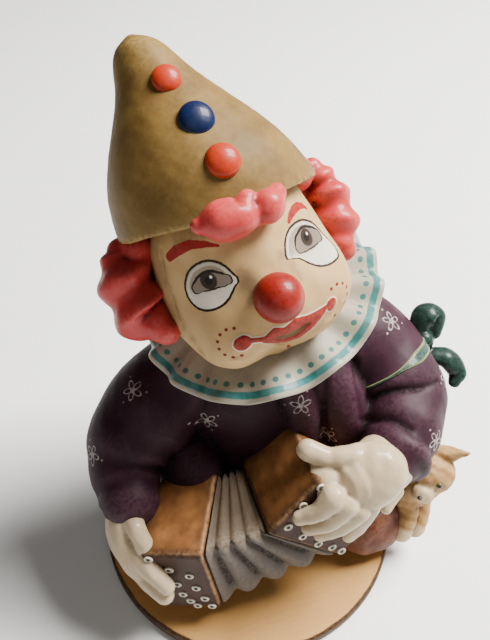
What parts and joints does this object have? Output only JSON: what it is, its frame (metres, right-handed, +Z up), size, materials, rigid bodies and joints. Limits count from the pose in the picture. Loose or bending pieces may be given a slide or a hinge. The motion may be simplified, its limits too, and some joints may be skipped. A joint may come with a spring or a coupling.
{
  "type": "clown figurine",
  "caption": "Painted ceramic figurine of a seated clown in a pointed hat and wavy collar, playing a concertina beside a kitten, on a round wooden plinth.",
  "frame": {"origin": "centre of the plinth's underside", "axes": "+Z up, the clown's chest faces -Y, the clown's left side is at +X"},
  "size_m": [0.1466, 0.126, 0.1932],
  "materials": {
    "painted_ceramic": "hand painted, satin to glossy",
    "varnished_wood": "satin varnish, dark stained edge"
  },
  "bodies": {
    "root": {"figure": "painted_ceramic", "plinth": "varnished_wood"}
  },
  "joints": []
}
